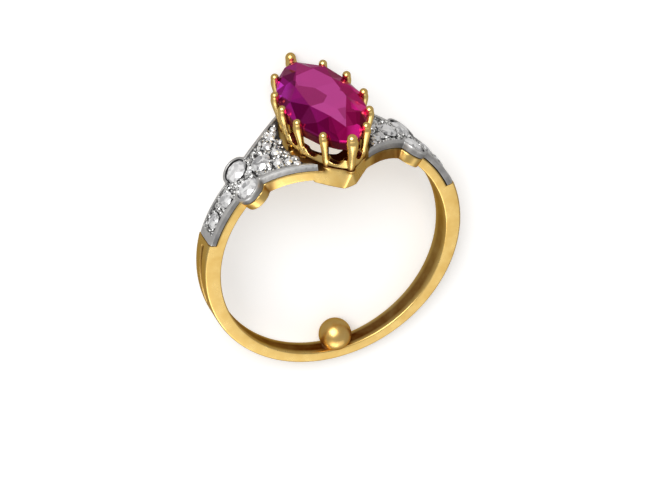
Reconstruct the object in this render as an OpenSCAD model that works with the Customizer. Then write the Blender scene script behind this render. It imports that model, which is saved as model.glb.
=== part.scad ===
// Antique solitaire ring: a marquise ruby in a twelve-claw collet, diamond-set silver
// shoulders on a yellow gold hoop, and a sizing ball inside the hoop.
// The ring is drawn upright in its own frame, x across the hoop, y towards the ruby and
// z along the finger, and is then laid on its side, as it rests by itself.
// Sizes are in millimetres, and angles on the shoulders count up from the hoop's x axis.

/* [Hoop] */
// Inside diameter of the hoop
finger_d = 16.5; // [16.3:0.1:16.8]
// Mean wall of the hoop
hoop_wall = 1.13; // [1.05:0.01:1.2]
// How far the outer circle is set towards the ruby, which makes the wall swell upwards
hoop_swell = 0.35; // [0.25:0.05:0.4]
// Width of the hoop at its foot
band_w_foot = 1.4; // [1.2:0.1:1.6]
// Width that the hoop would reach at its top
band_w_top = 2.35; // [2.2:0.05:2.5]
// Width of the slot in the outer face beside each shoulder
slot_w = 0.35; // [0.25:0.05:0.45]
// Depth of that slot
slot_depth = 0.3; // [0.2:0.05:0.4]
// Diameter of the sizing ball
ball_d = 2.3; // [2.1:0.1:2.4]
// How deep the sizing ball is sunk into the hoop
ball_sink = 0.37; // [0.3:0.01:0.5]

/* [Shoulders] */
// Thickness of the gold under the silver
plate_t = 0.7; // [0.66:0.02:0.74]
// Thickness of the silver face
silver_t = 0.54; // [0.5:0.01:0.58]
// Angle where the silver ends on the hoop
tail_angle = 20; // [19:0.5:21]
// Width of the raised rim along the silver's edges
rim_w = 0.24; // [0.2:0.02:0.26]
// Depth of the channel between the rims
channel_depth = 0.26; // [0.22:0.01:0.28]
// How far the band's rims slope down to their outer edges
rim_slope = 0.18; // [0.1:0.02:0.2]
// Wall of the round cups
cup_wall = 0.22; // [0.18:0.02:0.24]

/* [Head plate] */
// Reach of the pointed ends along the finger
tip_reach = 5.25; // [5.15:0.05:5.35]
// Distance of the necks from the middle
neck_x = 4.7; // [4.6:0.05:4.8]
// Half the width of the plate at the necks
neck_half_w = 1.75; // [1.7:0.05:1.85]
// How far the plate's edges curve inwards
edge_sag = 0.22; // [0.15:0.01:0.25]
// Half width of the bare gold at the pointed ends
tip_half_w = 1.4; // [1.35:0.05:1.5]

/* [Ruby] */
// Half length of the ruby
ruby_half_l = 5.4; // [5.3:0.05:5.45]
// Half width of the ruby
ruby_half_w = 2.72; // [2.66:0.02:2.76]
// How pointed the ruby's outline is, from an ellipse at 0.5 to two arcs at 1
ruby_point = 0.7; // [0.6:0.05:0.9]
// Height of the ruby's girdle above the hoop's centre
girdle_y = 11.55; // [11.5:0.01:11.58]
// Height of the crown
crown_h = 0.9; // [0.8:0.02:0.92]
// Thickness of the girdle
girdle_t = 0.26; // [0.2:0.02:0.28]
// Depth of the pavilion
pavilion_h = 2; // [1.8:0.05:2.1]
// Depth of the steep upper part of the pavilion
belly_h = 0.8; // [0.6:0.05:0.9]

/* [Claws] */
// Diameter of a claw
claw_d = 0.6; // [0.54:0.02:0.62]
// Diameter of a claw's bead
bead_d = 0.58; // [0.54:0.02:0.6]
// How much thicker the two claws at the ruby's points are
point_claw = 1.25; // [1.1:0.05:1.3]

/* [Hidden] */
$fn = 96;
seam = 0.02;
far = 30;
finger_r = finger_d / 2;
hoop_r = finger_r + hoop_wall;
hoop_foot = hoop_r - hoop_swell;
hoop_top = hoop_r + hoop_swell;
gold_r = finger_r + plate_t;
silver_r = gold_r + silver_t;
floor_r = silver_r - channel_depth;
slot_from = -13;
slot_to = 17;
join_x = 5;

// Plan of the head plate: four shallow arcs from the points to the necks
edge_run = sqrt(pow(neck_x, 2) + pow(tip_reach - neck_half_w, 2));
edge_r = pow(edge_run, 2) / (8 * edge_sag) + edge_sag / 2;
edge_out = [tip_reach - neck_half_w, neck_x] / edge_run;
edge_mid = [neck_x, tip_reach + neck_half_w] / 2;
edge_c = edge_mid + edge_out * (edge_r - edge_sag);
plate_end_x = 5.3;
opening_half_l = 2.4;
opening_half_w = 1.42;
tip_from_z = 3.4;
chin_core_y = finger_r + 0.15;
chin = [[-2.6, 7.95], [-1.3, 7.69], [-0.2, 7.64], [0.5, 7.84], [1.7, 8.13]];
tip_top_y = gold_r + 0.25;
tip_slope = 0.3;

// Collet: outlines of its feet, its gallery and the claws at the girdle
collet_half_l = 4.95;
collet_half_w = 2.4;
gallery_wall = 0.44;
gallery_y0 = tip_top_y + 0.2;
gallery_y1 = gallery_y0 + 0.6;
arch_r = 0.62;
peg_d = 0.4;
peg_y = gold_r - 0.45;
foot_y = tip_top_y - 0.1;
waist_y = girdle_y - 0.15;
claw_out = 0.12;
notch_gap = 0.04;
belly_in = 0.18;
collet_room = 0.38;
bead_out = 0.14;
bend_share = 1.04;

// Claws, each with its side of the ruby, its place along it and the height of its bead
SIDE = 0;
ALONG = 1;
BEAD_Y = 2;
claws = [
    [0, -5.65, 11.97],
    [1, -4, 11.93],
    [1, -1.95, 11.93],
    [1, 0.5, 11.88],
    [1, 2.6, 11.82],
    [1, 4.35, 11.82],
    [0, 5.5, 11.86],
    [-1, 4.25, 11.82],
    [-1, 2.15, 11.9],
    [-1, 0.2, 11.93],
    [-1, -1.6, 11.95],
    [-1, -3.7, 11.98]
];
pegged = [3, 9];

// Stones of one shoulder, each with its angle, its place along the finger and its width
ANGLE = 0;
PLACE = 1;
WIDTH = 2;
stones = [
    [28.8, 0, 1.2],
    [39.2, 0, 1.26],
    [50.2, 1.14, 1.7],
    [50.2, -1.14, 1.7],
    [60.6, 0, 1.5],
    [54.6, 0, 0.4],
    [68, 0, 0.6],
    [66.6, 1.04, 0.7],
    [66.6, -1.04, 0.7],
    [70.1, 1.64, 0.66],
    [70.1, -1.64, 0.66],
    [72.8, 2.32, 0.5],
    [72.8, -2.32, 0.5]
];
cupped = [2, 3];

// Silver grains beside the stones of one shoulder, by angle and place
grain_d = 0.28;
grains = [
    [34, -0.3],
    [34, 0.34],
    [44.6, -0.3],
    [44.6, 0.32],
    [57.4, -0.98],
    [57.4, 0.98],
    [64.9, -0.6],
    [64.9, 0.6],
    [70, -0.8],
    [70, 0.8]
];

// Cut of the small diamonds
facet_sides = 8;
table_share = 0.56;
star_share = 0.8;
small_girdle_r = silver_r - 0.2;

// Rest: the ring lies on its sizing ball and on the bend of its rear claw, and rolls over a
// little until the edge of its hoop touches the floor too
rest_roll = 3.8;
ball_y = -finger_r - ball_sink + ball_d / 2;
rear_claw_d = claw_d * point_claw;
rear_bend = [waist_y, -ruby_half_l - claw_out];
lean = rear_bend - [ball_y, 0];
rest_tilt = asin((rear_claw_d * bend_share - ball_d) / 2 / norm(lean) / cos(rest_roll)) - atan2(lean[1], lean[0]);
rest_lift = ball_d / 2 - ball_y * sin(rest_tilt) * cos(rest_roll);
rear_bead = claws[0];
rear_y = rear_bead[BEAD_Y] * cos(rest_tilt) - rear_bead[ALONG] * sin(rest_tilt) + bead_d * point_claw / 2;
front_y = -hoop_foot * cos(rest_tilt) - band_w_foot / 2 * sin(rest_tilt);
rest_shift = -(rear_y + front_y) / 2;

STONE_COUNT = len(stones);
function stone_name(side, i) = str("diamond_", side, "_", i + 1);

// Helpers

// Lays the upright ring on its side
module at_rest() {
    translate([0, rest_shift, rest_lift]) rotate([0, rest_roll, 0]) rotate([rest_tilt, 0, 0]) children();
}

// Puts a child on a shoulder, its z axis pointing outwards from the hoop's centre
module on_shoulder(angle, place) {
    rotate([0, 0, angle]) translate([0, 0, place]) rotate([0, 90, 0]) children();
}

// Mirrors the right shoulder to the left
module on_side(side) {
    if (side == "left") mirror([1, 0, 0]) children();
    else children();
}

// Turns a plan drawn across and along into a prism between two heights
module upright(y0, y1) {
    translate([0, y1, 0]) rotate([90, 0, 0]) linear_extrude(y1 - y0) children();
}

// Ring wall between two radii
module wall(r0, r1) {
    linear_extrude(16, center = true) difference() {
        circle(r1);
        circle(r0);
    }
}

// Wedge that gives the hoop its width, narrower by the inset on each side
module band_wedge(inset) {
    w0 = band_w_foot / 2 - inset;
    w1 = band_w_top / 2 - inset;
    rotate([90, 0, 90]) linear_extrude(far, center = true)
        polygon([[-hoop_foot, -w0], [hoop_top, -w1], [hoop_top, w1], [-hoop_foot, w0]]);
}

// Everything of a shoulder above an angle
module above(angle) {
    rotate([0, 0, angle]) translate([0, 0, -far / 2]) cube(far);
}

// Plan of the head plate, inset on its long edges
module plate_plan(inset) {
    difference() {
        square([2 * plate_end_x, 2 * tip_reach + 1], center = true);
        for (sx = [-1, 1], sz = [-1, 1])
            translate([sx * edge_c[0], sz * edge_c[1]]) circle(edge_r + inset, $fn = 360);
    }
}

// Plan of the plate's two points, no wider than given
module tip_plan(w) {
    intersection() {
        plate_plan(0);
        square([w, far], center = true);
        difference() {
            square(far, center = true);
            square([far, 2 * tip_from_z], center = true);
        }
    }
}

// Half width of a boat-shaped outline at a place along it
function boat_x(half_l, half_w, z) =
    abs(z) >= half_l ? 0 : half_w * pow(1 - pow(z / half_l, 2), ruby_point);

// Boat-shaped outline, whose corners lie closer together towards its points
module boat(half_l, half_w) {
    steps = 20;
    side = [for (k = [0:steps]) let (z = half_l * sin(180 * k / steps - 90)) [boat_x(half_l, half_w, z), z]];
    polygon(concat(side, [for (k = [steps - 1:-1:1]) [-side[k][0], side[k][1]]]));
}

// Round cups or round pads of a shoulder
module rounds(d, r0, r1) {
    for (i = cupped)
        on_shoulder(stones[i][ANGLE], stones[i][PLACE]) translate([0, 0, r0]) cylinder(d = d, h = r1 - r0);
}

// Gold

module hoop() {
    difference() {
        intersection() {
            translate([0, hoop_swell, 0]) linear_extrude(8, center = true) circle(hoop_r);
            band_wedge(0);
        }
        linear_extrude(9, center = true) circle(finger_r);
        upright(0, far) square([2 * join_x, far], center = true);
        for (side = ["left", "right"]) on_side(side) {
            difference() {
                above(tail_angle);
                linear_extrude(far, center = true) circle(gold_r);
            }
            slot();
        }
    }
}

// Narrow round-ended slot in the hoop's outer face
module slot() {
    bottom_r = hoop_r - slot_depth;
    intersection() {
        linear_extrude(slot_w, center = true) difference() {
            circle(far / 2);
            circle(bottom_r);
        }
        above(slot_from);
        rotate([0, 0, slot_to - 90]) above(0);
    }
    for (a = [slot_from, slot_to])
        on_shoulder(a, 0) translate([0, 0, bottom_r]) cylinder(d = slot_w, h = far / 4);
}

module gold_plate() {
    intersection() {
        tip_wedge();
        union() {
            intersection() {
                wall(finger_r, gold_r);
                upright(0, far / 2) difference() {
                    plate_plan(0);
                    boat(opening_half_l, opening_half_w);
                }
            }
            upright(chin_core_y, tip_top_y) tip_plan(2 * tip_half_w);
            intersection() {
                upright(finger_r - 1, chin_core_y + 0.05) tip_plan(far);
                linear_extrude(far, center = true)
                    polygon(concat(chin, [[1.7, far / 2], [-2.6, far / 2]]));
            }
        }
    }
    intersection() {
        wall(finger_r, gold_r);
        for (side = ["left", "right"])
            on_side(side) rounds(stones[cupped[0]][WIDTH] + 2 * cup_wall, finger_r - 1, gold_r + 1);
    }
}

// Wedge that makes the points' ends lean inwards towards the finger
module tip_wedge() {
    low = tip_reach - tip_top_y * tip_slope;
    rotate([90, 0, 90]) linear_extrude(far, center = true)
        polygon([[0, -low], [tip_top_y, -tip_reach], [tip_top_y, tip_reach], [0, low]]);
}

module sizing_ball() {
    translate([0, ball_y, 0]) sphere(d = ball_d);
}

// Round bar between two points
module bar(p, q, d0, d1) {
    run = q - p;
    len_run = norm(run);
    translate(p) rotate([0, acos(run[2] / len_run), atan2(run[1], run[0])])
        cylinder(d1 = d0, d2 = d1, h = len_run);
}

// Claws, notched where the ruby sits in them
module claws_round() {
    difference() {
        for (i = [0:len(claws) - 1]) claw(i);
        ruby_form(notch_gap);
    }
}

// One bent claw with its bead, standing on the plate
module claw(i) {
    c = claws[i];
    point = c[SIDE] == 0;
    d = claw_d * (point ? point_claw : 1);
    bead = bead_d * (point ? point_claw : 1);
    z_share = point ? sign(c[ALONG]) : c[ALONG] / claws[6][ALONG];
    z_foot = collet_half_l * z_share;
    z_waist = (ruby_half_l + claw_out) * z_share;
    x_foot = c[SIDE] * boat_x(collet_half_l, collet_half_w, z_foot);
    x_waist = c[SIDE] * boat_x(ruby_half_l + claw_out, ruby_half_w + claw_out, z_waist);
    x_bead = c[SIDE] * boat_x(ruby_half_l + bead_out, ruby_half_w + bead_out, c[ALONG]);
    z_bead = c[ALONG];
    foot = [x_foot, foot_y, z_foot];
    waist = [x_waist, waist_y, z_waist];
    tip = [x_bead, c[BEAD_Y], z_bead];
    bar(foot, waist, d * 0.9, d);
    translate(waist) sphere(d = d * bend_share);
    bar(waist, tip, d, bead * 0.8);
    translate(tip) sphere(d = bead);
}

// Scalloped gallery that joins the claws' feet
module gallery() {
    difference() {
        upright(gallery_y0, gallery_y1) difference() {
            boat(collet_half_l + gallery_wall / 2, collet_half_w + gallery_wall / 2);
            boat(collet_half_l - gallery_wall / 2, collet_half_w - gallery_wall / 2);
        }
        for (i = [0:len(claws) - 1]) arch(i, (i + 1) % len(claws));
    }
}

// Round cut between two neighbouring claws, square to the gallery
module arch(i, j) {
    z = (claws[i][ALONG] + claws[j][ALONG]) / 2 * collet_half_l / claws[6][ALONG];
    side = claws[i][SIDE] + claws[j][SIDE] > 0 ? 1 : -1;
    x = boat_x(collet_half_l, collet_half_w, z);
    slope = boat_x(collet_half_l, collet_half_w, z - 0.05) - boat_x(collet_half_l, collet_half_w, z + 0.05);
    turn = atan2(slope, 0.1);
    translate([side * x, gallery_y1 + 0.25, z]) rotate([0, side > 0 ? 90 - turn : turn - 90, 0])
        cylinder(r = arch_r, h = 2, center = true);
}

module pegs() {
    for (i = pegged)
        translate([claws[i][SIDE] * collet_half_w, 0, claws[i][ALONG]]) upright(peg_y, foot_y + 0.1) circle(d = peg_d);
}

module gold_mount() {
    color("goldenrod") at_rest() {
        hoop();
        gold_plate();
        sizing_ball();
        gallery();
        pegs();
        claws_round();
    }
}

// Silver

// Parts of a shoulder to the right of a distance from the middle
module beyond(x) {
    translate([x, -far / 2, -far / 2]) cube(far);
}

// Turned blank of the band, lower at the outer edges of its rims
module sloped_band() {
    w = band_w_top / 2;
    inner = w - rim_w - rim_slope;
    rotate_extrude() polygon([
        [finger_r, -w], [silver_r - rim_slope, -w], [silver_r, -inner], [silver_r + 1, 0],
        [silver_r, inner], [silver_r - rim_slope, w], [finger_r, w]
    ]);
}

// Silver's outline, or the channel's where it is inset and starts higher on the hoop
module silver_form(inset, angle, from_x) {
    intersection() {
        band_wedge(inset);
        above(angle);
        beyond(join_x);
        sloped_band();
    }
    intersection() {
        upright(0, far / 2) plate_plan(inset);
        beyond(from_x);
    }
    rounds(stones[cupped[0]][WIDTH] + 2 * (inset > 0 ? seam : cup_wall), gold_r - 1, silver_r + 1);
}

// Cone that a stone's lower facets sit in
module seat(stone) {
    r = stone[WIDTH] / 2;
    on_shoulder(stone[ANGLE], stone[PLACE]) translate([0, 0, small_girdle_r - small_depth(stone[WIDTH]) - seam])
        cylinder(r1 = 0.05, r2 = r + seam, h = small_depth(stone[WIDTH]) + seam);
}

module silver_top(side) {
    color("silver") at_rest() on_side(side) {
        difference() {
            intersection() {
                wall(gold_r + seam, silver_r);
                silver_form(0, tail_angle, tip_half_w + seam);
            }
            difference() {
                silver_form(rim_w, tail_angle + 3.5, tip_half_w);
                linear_extrude(far, center = true) circle(floor_r);
            }
            upright(0, far / 2) boat(collet_half_l + collet_room, collet_half_w + collet_room);
            for (stone = stones) seat(stone);
        }
        for (grain = grains)
            on_shoulder(grain[ANGLE], grain[PLACE]) translate([0, 0, floor_r + 0.08]) sphere(d = grain_d);
    }
}

// Stones

// Rings of corners of a cut stone, from the table down to the culet
function ring(n, turn, a, b, h) =
    [for (k = [0:n - 1]) let (t = turn + k * 360 / n) [a * cos(t), b * sin(t), h]];

// Solid of a cut stone from its table and star corners, its rings from the girdle's upper
// edge down, and its culet
module cut_stone(table_ring, star_ring, rings, culet) {
    n = len(table_ring);
    points = concat(table_ring, star_ring, [for (one = rings) each one], [culet]);
    star = n;
    girdle = 2 * n;
    lowest = 2 * n * len(rings);
    last = lowest + 2 * n;
    faces = concat(
        [[for (k = [n - 1:-1:0]) k]],
        [for (k = [0:n - 1]) [k, (k + 1) % n, star + (k + 1) % n]],
        [for (k = [0:n - 1]) [k, star + (k + 1) % n, girdle + 2 * k]],
        [for (k = [0:n - 1]) [k, girdle + 2 * k, star + k]],
        [for (k = [0:n - 1]) [star + (k + 1) % n, girdle + 2 * k + 1, girdle + 2 * k]],
        [for (k = [0:n - 1]) [star + (k + 1) % n, girdle + (2 * k + 2) % (2 * n), girdle + 2 * k + 1]],
        [for (i = [1:len(rings) - 1], k = [0:2 * n - 1])
            let (upper = 2 * n * i, lower = upper + 2 * n, next = (k + 1) % (2 * n))
            each [[upper + k, upper + next, lower + next], [upper + k, lower + next, lower + k]]],
        [for (k = [0:2 * n - 1]) [lowest + k, lowest + (k + 1) % (2 * n), last]]
    );
    polyhedron(points, faces);
}

function small_crown(width) = 0.1 + 0.1 * width;
function small_depth(width) = min(0.3, 0.16 + 0.2 * width);

// Round old-cut diamond with its girdle at the base plane
module small_stone(width) {
    n = facet_sides;
    r = width / 2;
    crown = small_crown(width);
    edge = 0.03;
    half = 180 / n;
    cut_stone(
        ring(n, 0, r * table_share, r * table_share, crown),
        ring(n, -half, r * star_share, r * star_share, crown * 0.6),
        [ring(2 * n, 0, r, r, edge / 2), ring(2 * n, 0, r, r, -edge / 2)],
        [0, 0, -small_depth(width)]
    );
}

module diamond(side, i) {
    stone = stones[i];
    color("white") at_rest() on_side(side)
        on_shoulder(stone[ANGLE], stone[PLACE]) translate([0, 0, small_girdle_r]) small_stone(stone[WIDTH]);
}

// Corners on a boat-shaped ring of the ruby
function boat_ring(n, half_l, half_w, h) =
    [for (k = [0:n - 1])
        let (t = 22.5 + k * 360 / n, z = half_l * sin(t))
        [sign(cos(t)) * boat_x(half_l, half_w, z), z, h]];

// Marquise ruby with a long eight-sided table and a full pavilion, grown by a gap all round
module ruby_form(gap) {
    n = 8;
    half_l = ruby_half_l + gap;
    half_w = ruby_half_w + gap;
    upper = girdle_t * 0.6 + gap / 2;
    lower = -girdle_t * 0.4 - gap / 2;
    translate([0, girdle_y, 0]) rotate([-90, 0, 0]) mirror([0, 1, 0])
        cut_stone(
            ring(n, 22.5, 1.42 + gap, 3.36 + gap, crown_h + gap),
            ring(n, 0, 2.18 + gap, 4.5 + gap, crown_h * 0.78 + gap),
            [
                boat_ring(2 * n, half_l, half_w, upper),
                boat_ring(2 * n, half_l, half_w, lower),
                boat_ring(2 * n, half_l - 2 * belly_in, half_w - belly_in, -belly_h - gap / 2)
            ],
            [0, 0, -pavilion_h - gap]
        );
}

module ruby() {
    color("crimson") at_rest() ruby_form(0);
}

gold_mount();
silver_top("left");  // silver_top_left
silver_top("right");  // silver_top_right
ruby();
for (side = ["left", "right"], i = [0:STONE_COUNT - 1])
    diamond(side, i);
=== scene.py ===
# %% [markdown]
# # A ruby ring with diamond shoulders
# The part itself was drawn as exact solids. This file dresses it: it gives each piece the worn,
# rounded surface and the finish of the real one, and lights it like a small still life.

import math

import bmesh
import bpy
import numpy as np
from mathutils import Matrix, Vector, noise


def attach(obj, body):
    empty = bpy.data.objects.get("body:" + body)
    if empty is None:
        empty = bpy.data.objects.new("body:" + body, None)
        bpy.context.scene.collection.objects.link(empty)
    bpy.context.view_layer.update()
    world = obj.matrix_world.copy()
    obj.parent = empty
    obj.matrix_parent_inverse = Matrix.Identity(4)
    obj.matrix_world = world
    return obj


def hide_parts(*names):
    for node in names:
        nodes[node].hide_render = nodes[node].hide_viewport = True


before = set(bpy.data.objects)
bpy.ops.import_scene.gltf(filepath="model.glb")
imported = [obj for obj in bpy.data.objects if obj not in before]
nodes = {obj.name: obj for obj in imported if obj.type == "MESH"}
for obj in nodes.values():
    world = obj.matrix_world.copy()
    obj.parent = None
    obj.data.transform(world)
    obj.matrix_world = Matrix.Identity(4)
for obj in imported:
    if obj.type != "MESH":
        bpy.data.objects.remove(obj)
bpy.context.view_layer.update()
print("pieces in the packed part:", len(nodes))

# %% [markdown]
# ## The ring's own frame
# A ring is easiest to shape upright: x across the hoop, y towards the ruby and z along the
# finger, in millimetres from the hoop's centre. One matrix then lays it on its side, with the
# same tilt, roll and lift as the solids have, so nothing is ever fitted by eye.

# %% Lay the upright ring down
MM = 0.001
REST_TILT = math.radians(14.0854)
REST_ROLL = math.radians(3.8)
REST_MOVE = Vector((0, -2.20939, 2.96396))
LAY_DOWN = (
    Matrix.Scale(MM, 4)
    @ Matrix.Translation(REST_MOVE)
    @ Matrix.Rotation(REST_ROLL, 4, "Y")
    @ Matrix.Rotation(REST_TILT, 4, "X")
)
print("hoop's centre in mm:", [round(v / MM, 2) for v in LAY_DOWN @ Vector((0, 0, 0))])

# %% [markdown]
# ## Camera
# The camera's place was worked out from the hoop's ellipse and the claws. It is a long lens,
# as jewellery is photographed from well away so that its shape isn't stretched.

# %% Camera
CAMERA_AT = Vector((-63.746, 129.815, 177.419))
CAMERA_RIGHT = Vector((0.92827024, -0.04817139, 0.36877349))
CAMERA_UP = Vector((0.24648365, 0.82221267, -0.51304205))
CAMERA_BACK = Vector((-0.27849628, 0.5671383, 0.77510901))
lens = bpy.data.cameras.new("long_lens")
lens.lens = 182.4
lens.sensor_width = 36
lens.shift_x = 0.0003
lens.shift_y = -0.0026
lens.clip_start = 0.01
lens.clip_end = 5
camera = bpy.data.objects.new("camera", lens)
bpy.context.scene.collection.objects.link(camera)
turn = LAY_DOWN.to_3x3() * (1 / MM)
place = Matrix([turn @ v for v in (CAMERA_RIGHT, CAMERA_UP, CAMERA_BACK)]).transposed().to_4x4()
place.translation = LAY_DOWN @ CAMERA_AT
camera.matrix_world = place
bpy.context.scene.camera = camera
print("camera is", round(camera.location.length, 3), "m away")

# %% [markdown]
# ## Floor and light
# The ring lies on white paper. A window behind it on the left lights the paper and puts a spark
# on every bead. A wide sheet in front fills the hoop's flat face, and a small low sheet fills the
# faces of the claws and of the left shoulder. Metal shows what it mirrors, so the room is a plain
# mid grey, and the paper is hidden from mirror-like rays: white paper all round would wash the
# gold out. The paper glows a little, which keeps it white under the ring's own soft shadow.

# %% Floor and light
paper = bpy.data.materials.new("white_paper")
paper.use_nodes = True
paper_inputs = paper.node_tree.nodes["Principled BSDF"].inputs
paper_inputs["Base Color"].default_value = (0.93, 0.93, 0.93, 1)
paper_inputs["Roughness"].default_value = 0.9
paper_inputs["Specular IOR Level"].default_value = 0.1
paper_inputs["Emission Color"].default_value = (1, 1, 1, 1)
paper_inputs["Emission Strength"].default_value = 0.2
floor_mesh = bpy.data.meshes.new("floor")
FLOOR_HALF = 3
corners = [(x * FLOOR_HALF, y * FLOOR_HALF, 0) for x, y in ((-1, -1), (1, -1), (1, 1), (-1, 1))]
floor_mesh.from_pydata(corners, [], [(0, 1, 2, 3)])
floor_mesh.materials.append(paper)
floor = bpy.data.objects.new("floor", floor_mesh)
bpy.context.scene.collection.objects.link(floor)
floor.visible_glossy = False

world = bpy.data.worlds.new("studio")
world.use_nodes = True
world.node_tree.nodes["Background"].inputs["Color"].default_value = (1, 0.98, 0.96, 1)
world.node_tree.nodes["Background"].inputs["Strength"].default_value = 0.4
bpy.context.scene.world = world
bpy.context.scene.view_settings.view_transform = "Standard"
LIGHTS_AIM = Vector((0, 0, 0.005))


def softbox(name, at, width, height, glow):
    """A soft rectangular light that faces the ring; glow is how bright its sheet looks."""
    light = bpy.data.lights.new(name, "AREA")
    light.shape = "RECTANGLE"
    light.size = width
    light.size_y = height
    light.energy = glow * width * height * math.pi
    o = bpy.data.objects.new(name, light)
    bpy.context.scene.collection.objects.link(o)
    o.location = at
    o.rotation_euler = (LIGHTS_AIM - Vector(at)).to_track_quat("-Z", "Y").to_euler()
    o.visible_camera = False
    return o


softbox("window", (-0.22, 0.36, 0.46), 0.5, 0.5, 4.4)
softbox("front_sheet", (-0.1, -0.6, 0.36), 1.2, 0.5, 0.72)
softbox("low_sheet", (-0.19, -0.63, 0.26), 0.46, 0.36, 1.75)

# %% [markdown]
# ## Writing rules as sums
# Geometry Nodes and materials are both built from small maths nodes. A tiny class that wraps a
# socket lets a rule be written as ordinary sums, which is easier to read and to change.


# %% A socket that can be added and multiplied
class Wire:
    """Wraps a node's output, so that sums on it make maths nodes."""

    def __init__(self, tree, socket):
        self.tree, self.socket = tree, socket

    def math(self, operation, *others):
        node = self.tree.nodes.new("ShaderNodeMath")
        node.operation = operation
        for i, value in enumerate((self, *others)):
            if isinstance(value, Wire):
                self.tree.links.new(value.socket, node.inputs[i])
            else:
                node.inputs[i].default_value = value
        return Wire(self.tree, node.outputs[0])

    def __add__(self, other):
        return self.math("ADD", other)

    def __sub__(self, other):
        return self.math("SUBTRACT", other)

    def __mul__(self, other):
        return self.math("MULTIPLY", other)

    def __truediv__(self, other):
        return self.math("DIVIDE", other)


def new_tree(name, sizes):
    """An empty Geometry Nodes tree with named inputs, and its inputs as wires."""
    tree = bpy.data.node_groups.new(name, "GeometryNodeTree")
    tree.interface.new_socket("Geometry", in_out="INPUT", socket_type="NodeSocketGeometry")
    for size in sizes:
        tree.interface.new_socket(size, in_out="INPUT", socket_type="NodeSocketFloat")
    tree.interface.new_socket("Material", in_out="INPUT", socket_type="NodeSocketMaterial")
    tree.interface.new_socket("Geometry", in_out="OUTPUT", socket_type="NodeSocketGeometry")
    entry = tree.nodes.new("NodeGroupInput")
    return tree, {s.name: Wire(tree, s) for s in entry.outputs if s.name}


def add(tree, kind, links=None, **settings):
    """Adds a node, sets its plain settings and joins or sets its inputs by name or number."""
    node = tree.nodes.new(kind)
    for key, value in settings.items():
        setattr(node, key, value)
    for key, value in (links or {}).items():
        if isinstance(value, Wire):
            tree.links.new(value.socket, node.inputs[key])
        else:
            node.inputs[key].default_value = value
    return node


def out(tree, node, name=0):
    """One output of a node, as a wire."""
    return Wire(tree, node.outputs[name])


def named(tree, name):
    """A number stored on the mesh under a name."""
    return out(tree, add(tree, "GeometryNodeInputNamedAttribute", {"Name": name}, data_type="FLOAT"))


def keep_number(tree, geometry, name, value):
    """Stores a number on the geometry under a name."""
    links = {"Geometry": geometry, "Name": name, "Value": value}
    return out(tree, add(tree, "GeometryNodeStoreNamedAttribute", links, data_type="FLOAT"))


def close_tree(tree, geometry, material):
    """Ends a tree in Realize Instances and Set Material."""
    real = add(tree, "GeometryNodeRealizeInstances", {"Geometry": geometry})
    painted = add(tree, "GeometryNodeSetMaterial", {"Geometry": out(tree, real), "Material": material})
    leave = tree.nodes.new("NodeGroupOutput")
    tree.links.new(painted.outputs[0], leave.inputs[0])


def grow(tree, name, sizes, material, start):
    """Runs a tree once on a mesh and returns a plain mesh, in upright millimetres."""
    o = bpy.data.objects.new(name, start)
    bpy.context.scene.collection.objects.link(o)
    modifier = o.modifiers.new("rule", "NODES")
    modifier.node_group = tree
    wanted = {**sizes, "Material": material}
    for item in tree.interface.items_tree:
        if item.in_out == "INPUT" and item.name in wanted:
            modifier[item.identifier] = wanted[item.name]
    bpy.context.view_layer.update()
    made = bpy.data.meshes.new_from_object(o.evaluated_get(bpy.context.evaluated_depsgraph_get()))
    bpy.data.objects.remove(o)
    made.name = name
    return made


print("helpers for rules ready")

# %% [markdown]
# ## Finishes
# Old gold isn't one colour. Its flats are bright and lightly scratched, its edges are rubbed
# paler, and its hollows hold a reddish brown film. Each dense piece carries an attribute, which
# is high in its creases and low on its edges, and the finish darkens by it towards a film colour.
# The darkening is partly real film and partly painted shade: in creases, slots and round the
# ball's foot it is both, and inside the hoop, at the collet's foot, on the plate under the claws,
# on the head plate's front and on the ball's underside it is painted shade.


# %% Helpers for finishes
def dot(tree, wire, way):
    """How far a wire's vector goes along a fixed way."""
    node = add(tree, "ShaderNodeVectorMath", {0: wire, 1: way}, operation="DOT_PRODUCT")
    return out(tree, node, "Value")


def clip(wire):
    """Keeps a number between 0 and 1."""
    return wire.math("MAXIMUM", 0.0).math("MINIMUM", 1.0)


def blend(tree, share, low, high):
    """Mixes two colours, each a wire or three numbers."""
    ends = {k: c if isinstance(c, Wire) else (*c, 1) for k, c in ((6, low), (7, high))}
    return out(tree, add(tree, "ShaderNodeMix", {0: share, **ends}, data_type="RGBA"), 2)


def new_finish(name, settings):
    """A material with plain values on its shader, its tree and its shader."""
    m = bpy.data.materials.new(name)
    m.use_nodes = True
    shader = m.node_tree.nodes["Principled BSDF"]
    for key, value in settings.items():
        shader.inputs[key].default_value = value
    return m, m.node_tree, shader


print("helpers for finishes ready")


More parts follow.
